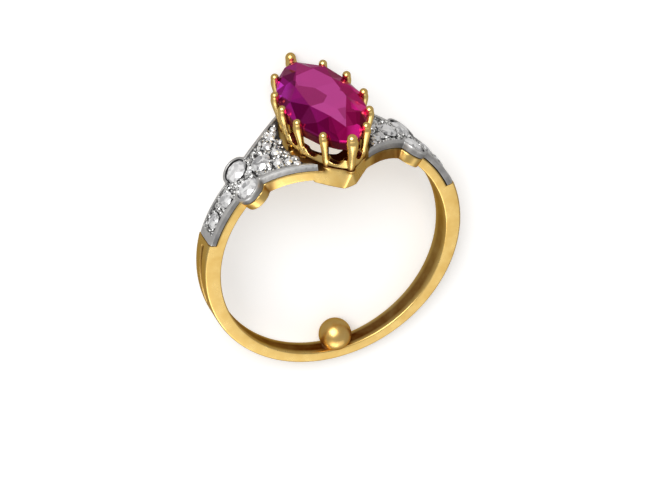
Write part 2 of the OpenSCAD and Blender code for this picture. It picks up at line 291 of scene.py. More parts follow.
# %% Metal finish
def worn_metal(name, colours, rough, edge=None, scratch=0.08, metal=1.0):
    """Satin metal with cloudy polish, fine scratches and a dark film with painted shade in its hollows.

    The colours are those of its bright parts, of its warm patches and of the film, which also serves
    as painted shade. Edge is the colour of grazing light on it. The clouds are about 1 mm across,
    the grain a tenth of that.
    """
    bright, warm, dark_film_and_shade = colours
    m, t, shader = new_finish(name, {"Metallic": metal})
    place = out(t, add(t, "ShaderNodeTexCoord"), "Object")
    clouds = {"Vector": place, "Scale": 900.0, "Detail": 5.0, "Roughness": 0.6}
    cloud = out(t, add(t, "ShaderNodeTexNoise", clouds))
    grain = out(t, add(t, "ShaderNodeTexNoise", {"Vector": place, "Scale": 9000.0, "Detail": 3.0}))
    film_and_shade_share = out(t, add(t, "ShaderNodeAttribute", attribute_name="film_and_shade_share"), "Fac")
    patchy = clip(cloud * 2.4 - 0.7)
    # how far the film and the painted shade darken this spot
    dark = clip(film_and_shade_share * (cloud * 0.8 + 0.75))
    colour = blend(t, dark, blend(t, patchy, bright, warm), dark_film_and_shade)
    t.links.new(colour.socket, shader.inputs["Base Color"])
    # where the film and painted shade darken the colour, grazing reflections are deepened too
    if edge:
        grazing = blend(t, dark, edge, [part * part for part in edge])
        t.links.new(grazing.socket, shader.inputs["Specular Tint"])
    roughness = patchy * 0.1 + (rough - 0.05) + dark * 0.25 + grain * 0.06
    t.links.new(roughness.socket, shader.inputs["Roughness"])
    relief = {"Height": grain * 0.3 + cloud, "Strength": scratch, "Distance": 0.00002}
    t.links.new(add(t, "ShaderNodeBump", relief).outputs[0], shader.inputs["Normal"])
    return m


# %% The metals
# the film's dark colours, which the painted shade uses as well
GOLD_FILM_AND_SHADE = (0.14, 0.034, 0.003)
SILVER_FILM_AND_SHADE = (0.02, 0.018, 0.02)
# grazing light on old gold, and on the claws' gold, a copy painted lighter so the claws look more lit
GOLD_EDGE = (0.96, 0.68, 0.3)
LIT_CLAW_EDGE = (1, 0.76, 0.36)
gold = worn_metal("yellow_gold", [(0.88, 0.63, 0.23), (0.8, 0.52, 0.15), GOLD_FILM_AND_SHADE], 0.27, GOLD_EDGE)
# the claws take a lighter, glossier copy of the gold: painted light
lit_claw_gold = worn_metal("claw_gold_painted_lighter", [(1, 0.76, 0.31), (0.97, 0.64, 0.2), GOLD_FILM_AND_SHADE], 0.19, LIT_CLAW_EDGE)
satin_gold = worn_metal("satin_gold", [(0.92, 0.63, 0.23), (0.76, 0.45, 0.11), GOLD_FILM_AND_SHADE], 0.29, GOLD_EDGE)
rough_gold = worn_metal("solder_gold", [(0.8, 0.55, 0.24), (0.5, 0.26, 0.07), GOLD_FILM_AND_SHADE], 0.42, scratch=0.7)
grey_silver = [(0.7, 0.69, 0.67), (0.46, 0.46, 0.46), SILVER_FILM_AND_SHADE]
silver = worn_metal("old_silver", grey_silver, 0.3, scratch=0.2, metal=0.8)
print("finishes:", [m.name for m in (gold, lit_claw_gold, satin_gold, rough_gold, silver)])

# %% [markdown]
# ## Numbers on a mesh
# Wear, dirt and painted shade go by place: how high a corner lies, which way it faces, what its
# neighbours do.
# Whole tables of corners are worked on at once, which is many times faster than a loop, and one
# number for each corner can be stored on the mesh, where its finish reads it.


# %% Tables of corners
def numbers_of(mesh, kind):
    """The corners' places ("co") or outward directions ("normal"), a row for each."""
    flat = np.empty(len(mesh.vertices) * 3)
    mesh.vertices.foreach_get(kind, flat)
    return flat.reshape(-1, 3)


def neighbour_mean(mesh):
    """A function that averages a table of values over each corner's neighbours."""
    count = len(mesh.vertices)
    ends = np.empty(len(mesh.edges) * 2, dtype=np.int32)
    mesh.edges.foreach_get("vertices", ends)
    a, b = ends.reshape(-1, 2).T
    degree = np.maximum(np.bincount(a, minlength=count) + np.bincount(b, minlength=count), 1)

    def mean(values):
        total = np.zeros_like(values)
        for k in range(values.shape[1]):
            total[:, k] = np.bincount(a, values[b, k], count) + np.bincount(b, values[a, k], count)
        return total / degree[:, None]

    return mean


def store(mesh, name, values):
    """Keeps one number for each corner of a mesh under a name."""
    kept = mesh.attributes.get(name) or mesh.attributes.new(name, "FLOAT", "POINT")
    kept.data.foreach_set("value", np.asarray(values, np.float32))


def rise(values, start, width):
    """0 up to the start, then climbs to 1 over the width."""
    return np.clip((values - start) / width, 0, 1)


def fall(values, end, width):
    """0 past the end, and 1 where the values are further below it than the width."""
    return np.clip((end - values) / width, 0, 1)


print("helpers for corners ready")

# %% [markdown]
# ## Hollows and wear
# Dirt settles where the surface lies below its surroundings, and rubbing takes off what stands
# above them. Both come from one comparison, of each corner with the average of its neighbours.
# The darkening that the hollows get from it stands for dirt and also paints their shade.


# %% Hollows and wear
def hollow_map(mesh, rounds=12, spread=3, gain=9.0):
    """How far each corner lies below the smoothed surface around it, from 0 to 1."""
    at, out_way, mean = numbers_of(mesh, "co"), numbers_of(mesh, "normal"), neighbour_mean(mesh)
    soft = at.copy()
    for _ in range(rounds):
        soft = (soft + mean(soft)) / 2
    depth = ((soft - at) * out_way).sum(axis=1)[:, None]
    for _ in range(spread):
        depth = (depth + mean(depth)) / 2
    return np.clip(depth[:, 0] * gain, 0, 1)


def wear_down(mesh, share, rounds):
    """Smooths a mesh further where share is 1, and not where it is 0."""
    at, mean = numbers_of(mesh, "co"), neighbour_mean(mesh)
    for _ in range(rounds):
        at += (mean(at) - at) * 0.5 * share[:, None]
    mesh.vertices.foreach_set("co", at.ravel())
    mesh.update()


print("helpers for wear ready")

# %% [markdown]
# ## Turning meshes into pieces
# A finished piece keeps its object at the origin and its place in its mesh, as the packed
# solids do. Its object is then free to ride on the part's body.


# %% Pieces from upright meshes
def piece(name, mesh, stands_for=()):
    """Lays an upright mesh down and makes it a finished piece, riding on the ring's one body."""
    mesh.transform(LAY_DOWN)
    mesh.update()
    mesh.name = name
    o = bpy.data.objects.new(name, mesh)
    bpy.context.scene.collection.objects.link(o)
    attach(o, "root")
    for node in stands_for:
        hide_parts(node)
    box = [[round(v * 1000, 2) for v in c] for c in (o.bound_box[0], o.bound_box[6])]
    print(f"{name}: {len(mesh.polygons)} faces, box in mm {box}")
    return o


def upright_copy(node):
    """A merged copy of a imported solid's mesh, stood upright again in millimetres."""
    mesh = nodes[node].data.copy()
    bm = bmesh.new()
    bm.from_mesh(mesh)
    bmesh.ops.remove_doubles(bm, verts=bm.verts, dist=1e-8)
    bm.to_mesh(mesh)
    bm.free()
    mesh.transform(LAY_DOWN.inverted())
    mesh.materials.clear()
    return mesh


def apply_modifiers(mesh, *settings):
    """Runs modifiers on a mesh once and returns the plain result."""
    o = bpy.data.objects.new("work", mesh)
    bpy.context.scene.collection.objects.link(o)
    for kind, values in settings:
        modifier = o.modifiers.new(kind.lower(), kind)
        for key, value in values.items():
            setattr(modifier, key, value)
    bpy.context.view_layer.update()
    made = bpy.data.meshes.new_from_object(o.evaluated_get(bpy.context.evaluated_depsgraph_get()))
    bpy.data.objects.remove(o)
    return made


print("helpers for pieces ready")

# %% [markdown]
# ## Softening a solid
# Long wear leaves no sharp edge on metal. A bevel often fails where many curved edges meet, so
# the solid is remeshed into small even faces, smoothed, and thinned again.

# %% Softening
# how a mesh is turned for a remesh, so that none of its long edges runs along the grid
SKEW = Matrix.Rotation(0.55, 4, "X") @ Matrix.Rotation(0.7, 4, "Y") @ Matrix.Rotation(0.4, 4, "Z")


def soften(mesh, voxel, rounds, keep=1.0):
    """Rounds every edge a little, as years of wear do: remesh, smooth, then thin."""
    mesh.transform(SKEW)
    steps = [
        ("REMESH", {"mode": "VOXEL", "voxel_size": voxel, "use_smooth_shade": True}),
        ("SMOOTH", {"factor": 0.5, "iterations": rounds}),
    ]
    if keep < 1:
        steps.append(("DECIMATE", {"ratio": keep}))
    made = apply_modifiers(mesh, *steps)
    made.transform(SKEW.inverted())
    made.shade_smooth()
    return made


def joined(*meshes):
    """One mesh of several."""
    bm = bmesh.new()
    for mesh in meshes:
        bm.from_mesh(mesh)
    made = bpy.data.meshes.new("joined")
    bm.to_mesh(made)
    bm.free()
    return made


print("helpers for softening ready")

# %% [markdown]
# ## The hoop
# The hoop is a rule: a rounded bar swept round a circle, whose outer circle is set a little
# towards the ruby, so that the wall swells upwards, and whose width grows from foot to top.
# Geometry Nodes sweep a rounded square along an arc, and Set Position then applies the rule.

# %% Hoop sizes
FINGER_R = 8.25
HOOP_R = FINGER_R + 1.13
SWELL = 0.35
W_FOOT, W_TOP = 1.4, 2.35
GOLD_R, SILVER_R = 8.95, 9.49
TAIL_ANGLE = math.radians(20)
JOIN_ANGLE = math.radians(43.4)
HOOP_END = JOIN_ANGLE + 0.03
SWEEP_R = 10.0
print("hoop's wall at its foot in mm:", round(HOOP_R - SWELL - FINGER_R, 2))

# %% Hoop's outline
EDGE_IN, EDGE_OUT, EDGE_STEPS = 0.1, 0.13, 6
# the finger wall is this much deeper in its middle than at its edges
FINGER_WALL_DIP = 0.012
SLOT_W, SLOT_DEEP = 0.35, 0.3


def hoop_outline():
    """The bar's cross section as numbers a rule can read.

    Each corner of the outline says which wall it belongs to (0 the finger's, 1 the outer one),
    which face (-1 or 1, or 0 near the middle), how far it is off them in mm, and whether it
    is part of the slot's floor.
    """
    rows = []
    for wall, face in ((0, -1), (0, 1), (1, 1), (1, -1)):
        r = EDGE_OUT if wall else EDGE_IN
        turns = [k / EDGE_STEPS * math.pi / 2 for k in range(EDGE_STEPS + 1)]
        if (wall, face) in ((0, 1), (1, -1)):
            turns.reverse()
        sign = -1 if wall else 1
        for a in turns:
            rows.append((wall, face, sign * r * (1 - math.sin(a)), -face * r * (1 - math.cos(a)), 0))
        if (wall, face) == (0, -1):
            rows += [(0, 0, FINGER_WALL_DIP, v, 0) for v in (-0.3, 0, 0.3)]
        if (wall, face) == (1, 1):
            # from the flat beside the slot to its floor: place across, share of its depth
            half = SLOT_W / 2
            brim = [(0.32, 0), (half + 0.03, 0), (half + 0.008, 0.03)]
            floor_side = [(half - 0.01, 0.3), (half - 0.03, 0.9), (half - 0.08, 1)]
            one_side = brim + floor_side
            rows += [(1, 0, 0, v, d) for v, d in one_side + [(0, 1)]]
            rows += [(1, 0, 0, -v, d) for v, d in reversed(one_side)]
    mesh = bpy.data.meshes.new("hoop_outline")
    n = len(rows)
    flat = [(r[0] + r[2], r[1] + r[3], 0) for r in rows]
    mesh.from_pydata(flat, [(k, (k + 1) % n) for k in range(n)], [])
    for k, name in enumerate(("wall", "face", "off_wall", "off_face", "slot")):
        store(mesh, name, [row[k] for row in rows])
    print("corners in the hoop's outline:", n)
    return mesh


# %% The bar along its arc
HOOP = {
    "Finger radius": FINGER_R,
    "Outer radius": HOOP_R,
    "Swell": SWELL,
    "Foot width": W_FOOT,
    "Top width": W_TOP,
    "Slot depth": SLOT_DEEP,
}
START, SWEEP = math.pi - HOOP_END, math.pi + 2 * HOOP_END
tree, get = new_tree("hoop_by_rule", list(HOOP))
span = {"Start Angle": START, "Sweep Angle": SWEEP}
arc = add(tree, "GeometryNodeCurveArc", {"Resolution": 640, "Radius": SWEEP_R, **span})
# each point of the arc keeps its own angle, which the swept bar inherits
turn = out(tree, add(tree, "GeometryNodeSplineParameter")) * SWEEP + START
stored = keep_number(tree, out(tree, arc), "turn", turn)
outline = out(tree, add(tree, "GeometryNodeMeshToCurve", {"Mesh": get["Geometry"]}))
bar = add(tree, "GeometryNodeCurveToMesh", {"Curve": stored, "Profile Curve": outline, "Fill Caps": True})
print("degrees of the hoop's arc:", round(math.degrees(SWEEP), 1))

# %% The wall, its slots and its width
# the slot's ends and the silver's end, in degrees up from the hoop's middle height
SLOT_FROM, SLOT_TO, SILVER_FROM = -13.0, 17.0, math.degrees(TAIL_ANGLE) - 0.2
angle = named(tree, "turn")
cosine, sine = angle.math("COSINE"), angle.math("SINE")
swell, finger, outer_r = get["Swell"], get["Finger radius"], get["Outer radius"]
across = swell * cosine
outer = swell * sine + (outer_r * outer_r - across * across).math("SQRT")
climb = sine.math("ARCSINE") * (180 / math.pi)
under_silver = climb.math("GREATER_THAN", SILVER_FROM)
outer = outer + (outer * -1.0 + GOLD_R) * under_silver
in_slot = clip(climb - SLOT_FROM) * clip(climb * -1.0 + SLOT_TO)
slot_floor = named(tree, "slot") * in_slot
radius = finger + (outer - finger) * named(tree, "wall") + named(tree, "off_wall")
radius = radius - slot_floor * get["Slot depth"]
new_y = radius * sine
way_up = (new_y + outer_r - swell) / (outer_r * 2.0)
half_width = (get["Foot width"] + (get["Top width"] - get["Foot width"]) * way_up) / 2.0
new_z = named(tree, "face") * half_width + named(tree, "off_face")
where = out(tree, add(tree, "ShaderNodeCombineXYZ", {0: radius * cosine, 1: new_y, 2: new_z}))
print("nodes in the hoop's rule so far:", len(tree.nodes))

# %% Painted shade inside the hoop, and the result
# the painted shade inside the hoop at its middle height, and how fast it thins on the way up
INSIDE_SHADE_MIDDLE, INSIDE_SHADE_THINS = 0.42, 0.005
placed = add(tree, "GeometryNodeSetPosition", {"Geometry": out(tree, bar), "Position": where})
# painted shade on the hoop's inside, darker towards its foot; the slots' floors are darkened too, partly as
# film and partly as painted shade
inside = (named(tree, "wall") * -1.0 + 1.0) * named(tree, "face").math("ABSOLUTE").math("LESS_THAN", 0.5)
dark_film_and_shade = inside * (climb * -INSIDE_SHADE_THINS + INSIDE_SHADE_MIDDLE) + slot_floor
aged = keep_number(tree, out(tree, placed), "film_and_shade_share", dark_film_and_shade)
smooth = add(tree, "GeometryNodeSetShadeSmooth", {"Geometry": aged})
close_tree(tree, out(tree, smooth), get["Material"])
hoop_mesh = grow(tree, "gold_hoop", HOOP, gold, hoop_outline())
hoop_mesh.set_sharp_from_angle(angle=math.radians(40))
piece("gold_hoop", hoop_mesh, ["gold_mount"])

# %% [markdown]
# ## The silver shoulders
# Old silver is soft. Its rims have been rubbed round and bright, while soot and polish have
# settled black in its channel and round every stone. The solid is remeshed finely and smoothed,
# and each corner then learns how deep it lies and how near a stone's edge is. Its creases are
# darkened as well, partly as film and partly as painted shade.

# %% Where the small stones sit
# angle on the shoulder in degrees, place along the finger, width
STONES = [
    (28.8, 0, 1.2), (39.2, 0, 1.26), (50.2, 1.14, 1.7), (50.2, -1.14, 1.7), (60.6, 0, 1.5),
    (54.6, 0, 0.4), (68, 0, 0.6), (66.6, 1.04, 0.7), (66.6, -1.04, 0.7), (70.1, 1.64, 0.66),
    (70.1, -1.64, 0.66), (72.8, 2.32, 0.5), (72.8, -2.32, 0.5),
]
GIRDLE_R = SILVER_R - 0.2
print("small stones on each shoulder:", len(STONES))


def around_shoulder(points):
    """Each point's height off the hoop's centre line and distance from the nearest stone's edge."""
    x, y, z = np.abs(points[:, 0]), points[:, 1], points[:, 2]
    off = np.full(len(points), 9.0)
    for angle, place, width in STONES:
        a = math.radians(angle)
        along = y * math.cos(a) - x * math.sin(a)
        off = np.minimum(off, np.hypot(along, z - place) - width / 2)
    return np.hypot(x, y), off


def faces_out(mesh):
    """How squarely each corner of an upright mesh faces away from the hoop's centre line."""
    at, way = numbers_of(mesh, "co"), numbers_of(mesh, "normal")
    return (way[:, 0] * at[:, 0] + way[:, 1] * at[:, 1]) / np.hypot(at[:, 0], at[:, 1])


# %% Silver by softening
CHANNEL_R = SILVER_R - 0.26
# how far soot reaches from a stone, how dark the channel is, and what share of that its walls take
SOOT_REACH, CHANNEL_FILM, WALL_SHARE = 0.1, 0.75, 0.62
wing_beds = []
for side in ("left", "right"):
    silver_mesh = soften(upright_copy("silver_top_" + side), voxel=0.029, rounds=30, keep=0.42)
    # creases are darkened partly as film and partly as painted shade; the soot round the stones, the
    # channel and the seam are the silver's own dirt
    crease_film_and_shade = hollow_map(silver_mesh)
    high, off = around_shoulder(numbers_of(silver_mesh, "co"))
    soot = np.exp(-((off / SOOT_REACH) ** 2)) * fall(high, SILVER_R - 0.02, 0.06)
    looks_out = faces_out(silver_mesh)
    open_side = np.clip(looks_out * 2.5 - 1, WALL_SHARE, 1)
    channel = CHANNEL_FILM * fall(high, SILVER_R - 0.11, 0.1) * open_side
    seam_line = fall(high, GOLD_R + 0.09, 0.06)
    age = np.clip(np.maximum.reduce([soot, channel, seam_line, crease_film_and_shade]), 0, 1)
    store(silver_mesh, "film_and_shade_share", age)
    bed = (off > 0.06) & (np.abs(high - CHANNEL_R) < 0.06) & (looks_out > 0.85)
    store(silver_mesh, "bed", bed)
    wing_beds.append(silver_mesh.copy())
    silver_mesh.materials.clear()
    silver_mesh.materials.append(silver)
    piece("silver_" + side, silver_mesh, ["silver_top_" + side])

# %% [markdown]
# ## The look of cut facets
# A cut facet is flat, so all of it shows one thing: a lamp, or the dark. Here that reflection is
# painted into the colour. A number is drawn from each facet's own direction, rounded off so that
# it is steady all over the facet, and cells in the stone shift it a little. Nothing in it looks at
# the camera, so the painted pattern stays put when the ring is turned. The ruby, the diamonds and
# the silver's cut grains all use it.


# %% Cut silver's finish
def facet_tone(tree, scale):
    """Numbers from 0 to 1: one steady on each facet, and two from cells inside the stone."""
    place = out(tree, add(tree, "ShaderNodeTexCoord"), "Object")
    face = out(tree, add(tree, "ShaderNodeNewGeometry"), "True Normal")
    rounding = {0: face, 1: (0.04, 0.04, 0.04)}
    steady = out(tree, add(tree, "ShaderNodeVectorMath", rounding, operation="SNAP"))
    facet = add(tree, "ShaderNodeTexWhiteNoise", {"Vector": steady}, noise_dimensions="3D")
    cells = out(tree, add(tree, "ShaderNodeTexVoronoi", {"Vector": place, "Scale": scale}), "Color")
    inner = add(tree, "ShaderNodeSeparateColor", {0: cells})
    return out(tree, facet, "Value"), out(tree, inner, 0), out(tree, inner, 1)


def cut_silver_finish():
    """Silver cut into small facets, with painted glints: some facets painted white, some black."""
    m, t, shader = new_finish("bright_cut_silver", {"Roughness": 0.16, "Metallic": 0.6})
    facet, inner, _ = facet_tone(t, 2600.0)
    # painted glints: each facet painted from near-black to white by its direction
    painted_facet_light = blend(t, clip(facet * 1.7 + inner * 0.5 - 0.5), (0.04, 0.04, 0.045), (1, 1, 0.98))
    t.links.new(painted_facet_light.socket, shader.inputs["Base Color"])
    return m


cut_silver = cut_silver_finish()
print("finish:", cut_silver.name)

# %% [markdown]
# ## Grains
# The setter raises little curls of silver over each stone's edge to hold it. Seen small they
# sparkle, so each is drawn as a coarse little ball with flat facets, a bit longer than it is
# wide, and its finish paints glints on some facets. They are all the same small thing on a list
# of spots, which is work for Geometry Nodes: points, a grain on each, and a turn and a size for
# each from a fixed seed.


# %% Grains by rule
# half a grain's size at a large stone, at a small one, and in the row between the two cups
LARGE_GRAIN, SMALL_GRAIN, ROW_GRAIN = 0.11, 0.085, 0.19
ROW_ANGLES = (46.6, 50.2, 53)
# how far a grain stands outside its stone's edge, and above it
GRAIN_OUT, GRAIN_UP = 0.03, 0.05
FACES_A_GRAIN = 80
FULL_TURNS = (6.28, 6.28, 6.28)


def grain_spots(side):
    """Places of the grains round the stones of one shoulder, and how big each one is."""
    spots, sizes = [], []
    for angle, place, width in STONES:
        in_a_cup, at_the_point = width > 1.6, abs(place) > 2
        if in_a_cup or at_the_point:
            continue
        turns = (40, 140, 220, 320) if width > 1 else (0, 120, 240)
        for turn in turns:
            r = width / 2 + GRAIN_OUT
            a = math.radians(angle) + r * math.cos(math.radians(turn)) / GIRDLE_R
            z = place + r * math.sin(math.radians(turn))
            high = GIRDLE_R + GRAIN_UP
            spots.append((side * high * math.cos(a), high * math.sin(a), z))
            sizes.append(LARGE_GRAIN if width > 1 else SMALL_GRAIN)
    for turn in ROW_ANGLES:
        a = math.radians(turn)
        spots.append((side * CHANNEL_R * math.cos(a), CHANNEL_R * math.sin(a), 0))
        sizes.append(ROW_GRAIN)
    mesh = bpy.data.meshes.new("grain_spots")
    mesh.from_pydata(spots, [], [])
    store(mesh, "size", sizes)
    return mesh


def scatter_grains(tree, points, size, spread, seed):
    """A small cut grain on each point, each turned and sized a little differently."""
    grain = add(tree, "GeometryNodeMeshIcoSphere", {"Radius": 1.0, "Subdivisions": 2})
    chance = add(tree, "FunctionNodeRandomValue", {"Seed": seed}, data_type="FLOAT")
    turned = add(
        tree,
        "FunctionNodeRandomValue",
        {0: (0, 0, 0), 1: FULL_TURNS, "Seed": seed + 1},
        data_type="FLOAT_VECTOR",
    )
    big = ((out(tree, chance, 1) - 0.5) * spread + 1.0) * size
    shape = out(tree, add(tree, "ShaderNodeCombineXYZ", {0: big, 1: big * 0.75, 2: big * 1.15}))
    return add(
        tree,
        "GeometryNodeInstanceOnPoints",
        {"Points": points, "Instance": out(tree, grain), "Rotation": out(tree, turned), "Scale": shape},
    )


tree, get = new_tree("grains_by_rule", ["Size spread"])
points = out(tree, add(tree, "GeometryNodeMeshToPoints", {"Mesh": get["Geometry"]}))
grains = scatter_grains(tree, points, named(tree, "size"), get["Size spread"], 4)
close_tree(tree, out(tree, grains), get["Material"])
setting_grains = {
    name: grow(tree, "grains_" + name, {"Size spread": 0.3}, cut_silver, grain_spots(side))
    for name, side in (("left", -1), ("right", 1))
}
print("grains round the stones:", [len(mesh.polygons) // FACES_A_GRAIN for mesh in setting_grains.values()])

# %% [markdown]
# ## The wings' field of grains
# Between the stones of each wing the silver glitters all over, as small cut grains do, with
# glints painted on them. Their bed is found by rule: corners that lie at the channel's height, face
# outwards and are clear of the stones. Points are then scattered there, never closer than a gap,
# and each takes a grain.

# %% Field of grains
FIELD = {"Gap": 0.27, "Grain radius": 0.19, "Size spread": 0.9}
tree, get = new_tree("grain_field_by_rule", list(FIELD))
spots = add(
    tree,
    "GeometryNodeDistributePointsOnFaces",
    {
        "Mesh": get["Geometry"],
        "Distance Min": get["Gap"],
        "Density Max": 120.0,
        "Density Factor": named(tree, "bed"),
        "Seed": 7,
    },
    distribute_method="POISSON",
)
grains = scatter_grains(tree, out(tree, spots), get["Grain radius"], get["Size spread"], 5)
close_tree(tree, out(tree, grains), get["Material"])
for name, bed_mesh in zip(("left", "right"), wing_beds):
    field = grow(tree, "field_" + name, FIELD, cut_silver, bed_mesh)
    all_grains = joined(setting_grains[name], field)
    all_grains.materials.append(cut_silver)
    piece("silver_grains_" + name, all_grains)

# %% [markdown]
# ## The head plate
# Under the ruby the hoop widens into a plate with a point to the front and one to the back. Its
# outline is hollowed by four large circles, which would be slow to redraw here and easy to get
# wrong. So the imported gold solid is cut with a wedge that keeps just this part of it, and the
# cut part is softened. Its points are worn further than the rest. Painted shade darkens its top
# under the claws and bands of its front face.

# %% Head plate's solid
# half the length and half the width of the boat-shaped line that the claws stand on
COLLET_L, COLLET_W = 4.95, 2.4
PLATE_TOP, WEDGE_HALF = 9.24, 9


def head_plate_mesh():
    """The gold solid between the hoop's ends and below the collet."""
    wedge = bpy.data.meshes.new("cutter")
    reach = PLATE_TOP / math.tan(JOIN_ANGLE)
    plan = [Vector((0, 0)), Vector((reach, PLATE_TOP)), Vector((-reach, PLATE_TOP))]
    verts = [(p.x, p.y, z) for z in (-WEDGE_HALF, WEDGE_HALF) for p in plan]
    wedge.from_pydata(verts, [], [(2, 1, 0), (3, 4, 5), (0, 1, 4, 3), (1, 2, 5, 4), (2, 0, 3, 5)])
    cutter = bpy.data.objects.new("cutter", wedge)
    bpy.context.scene.collection.objects.link(cutter)
    made = apply_modifiers(
        upright_copy("gold_mount"),
        ("BOOLEAN", {"operation": "INTERSECT", "object": cutter, "solver": "EXACT"}),
    )
    bpy.data.objects.remove(cutter)
    return made


plate = head_plate_mesh()
print("faces of the head plate as cut:", len(plate.polygons))

# %% Head plate, worn
# where the painted shade under the claws starts, and how dark the painted shade on the plate's front face
# is
CLAW_SHADE_FROM, FRONT_SHADE = 8.6, 0.6
plate = soften(plate, voxel=0.035, rounds=28, keep=0.3)
at = numbers_of(plate, "co")
across, up, along = np.abs(at[:, 0]), at[:, 1], np.abs(at[:, 2])
wear_down(plate, rise(along, 3.3, 0.4) * fall(across, 2.9, 0.5), 24)
on_top = rise(faces_out(plate), 0.35, 0.3)
on_front = rise(numbers_of(plate, "normal")[:, 2], 0.35, 0.3)
# painted shade: on top under the claws, and on the front face beside the pads and in a band on the right
painted_shade_under_claws = rise(up, CLAW_SHADE_FROM, 0.35) * on_top * (across < COLLET_W + 0.5)
painted_shade_beside_pads = FRONT_SHADE * np.exp(-(((across - 4.6) / 0.25) ** 2)) * on_front
painted_shade_right_band = FRONT_SHADE * rise(at[:, 0], 1.9, 0.5) * fall(at[:, 0], 4.7, 0.5) * on_front
store(plate, "film_and_shade_share", np.maximum.reduce([hollow_map(plate), painted_shade_under_claws, painted_shade_beside_pads, painted_shade_right_band]))
plate.materials.clear()
plate.materials.append(gold)
piece("gold_plate", plate, ["gold_mount"])

# %% [markdown]
# ## The sizing ball
# A gold ball is soldered inside the hoop's foot to stop the heavy head from turning down. The
# solder ran into a rough little pool round its foot. The ball is a plain sphere, sunk a little
# into the hoop. The pool is a skirt of rings round it, whose reach and height wander by noise. It
# follows the hoop's inside, and is given a thickness so that it is closed underneath. The ball's
# lower part is darkened as painted shade, and the pool is darker next to the ball, partly as film
# and partly as painted shade.

# %% Sizing ball
BALL_D, BALL_SUNK = 2.3, 0.37
BALL_Y = -FINGER_R - BALL_SUNK + BALL_D / 2
# the solder's pool: where it starts, how far it spreads, its height and half its width
POOL_START, POOL_SPREAD, POOL_HIGH, POOL_HALF = 0.62, 0.5, 0.34, 0.62


def ball_mesh():
    """A fine sphere, upright, at the hoop's foot."""
    bm = bmesh.new()
    middle = Matrix.Translation((0, BALL_Y, 0))
    bmesh.ops.create_icosphere(bm, subdivisions=6, radius=BALL_D / 2, matrix=middle)
    made = bpy.data.meshes.new("sizing_ball")
    bm.to_mesh(made)
    bm.free()
    return made


def solder_mesh():
    """A low uneven skirt from the hoop's inside up the ball's foot."""
    rings, steps = 9, 72
    verts = []
    for k in range(rings):
        t = k / (rings - 1)
        for j in range(steps):
            a = 2 * math.pi * j / steps
            wobble = noise.noise(Vector((math.cos(a) * 1.7, math.sin(a) * 1.7, 3.1)))
            reach = POOL_START + t * (POOL_SPREAD + 0.22 * wobble)
            x, z = reach * math.cos(a), reach * math.sin(a) * 0.72
            floor_y = -math.sqrt(FINGER_R**2 - x * x)
            rough = 0.02 * noise.noise(Vector((x * 6, z * 6, 0.5)))
            lift = POOL_HIGH * (1 - t) ** 2 - 0.03 * t + rough
            verts.append((x, floor_y + lift, max(-POOL_HALF, min(POOL_HALF, z))))
    faces = []
    for k in range(rings - 1):
        here, beyond = k * steps, (k + 1) * steps
        for j in range(steps):
            after = (j + 1) % steps
            faces.append((here + j, here + after, beyond + after, beyond + j))
    mesh = bpy.data.meshes.new("solder")
    mesh.from_pydata(verts, [], faces)
    # darker next to the ball and fading outwards: partly film, partly painted shade under the ball
    dark_film_and_shade = np.linspace(0.85, 0.35, rings).repeat(steps)
    store(mesh, "film_and_shade_share", dark_film_and_shade)
    solid = apply_modifiers(mesh, ("SOLIDIFY", {"thickness": 0.2, "offset": -1}))
    bm = bmesh.new()
    bm.from_mesh(solid)
    bmesh.ops.recalc_face_normals(bm, faces=bm.faces)
    print("open edges of the solder:", sum(not e.is_manifold for e in bm.edges))
    bm.to_mesh(solid)
    bm.free()
    return solid


ball = ball_mesh()
ball.shade_smooth()
high = numbers_of(ball, "co")[:, 1] - BALL_Y
# the ball's lower part is darkened: painted shade
store(ball, "film_and_shade_share", 0.8 * fall(high, -0.5, 0.5))
ball.materials.append(satin_gold)
piece("sizing_ball", ball, ["gold_mount"])
pool = solder_mesh()
pool.shade_smooth()
pool.materials.append(rough_gold)
piece("ball_solder", pool)

# %% [markdown]
# ## The claws
# Twelve claws stand round the ruby, each a wire that widens upwards, bends in over the stone and
# ends in a bead. They share one rule: a smooth curve through six points, a circle swept along it
# whose size follows the curve, and a ball on its last point. Geometry Nodes do this from a list
# of bent lines, so a claw is moved by changing one number. The two at the ruby's tips are thicker.

# %% Claw sizes
RUBY_L, RUBY_W, POINT = 5.4, 2.72, 0.7
GIRDLE_Y = 11.55
CLAW_D, BEAD_D = 0.6, 0.58
FOOT_Y, WAIST_Y = 9.1, GIRDLE_Y - 0.15
# how far a claw's waist and tip stand outside the stone's edge
WAIST_OUT, TIP_OUT = 0.12, 0.14
# how thick a claw is at its six points, and how much thicker the two at the ruby's ends are
SWELL_OF_CLAW, END_CLAW = (0.62, 0.72, 0.95, 1.06, 1.02, 0.9), 1.25
LAST_CLAW = 5.5
# side of the ruby, place along it, height of the bead
CLAWS = [
    (0, -5.65, 11.97), (1, -4, 11.93), (1, -1.95, 11.93), (1, 0.5, 11.88),
    (1, 2.6, 11.82), (1, 4.35, 11.82), (0, LAST_CLAW, 11.86), (-1, 4.25, 11.82),
    (-1, 2.15, 11.9), (-1, 0.2, 11.93), (-1, -1.6, 11.95), (-1, -3.7, 11.98),
]
print("claws to draw:", len(CLAWS))


# %% Claw lines
def boat_x(half_l, half_w, z):
    """Half width of a boat-shaped outline at a place along it."""
    return 0 if abs(z) >= half_l else half_w * (1 - (z / half_l) ** 2) ** POINT


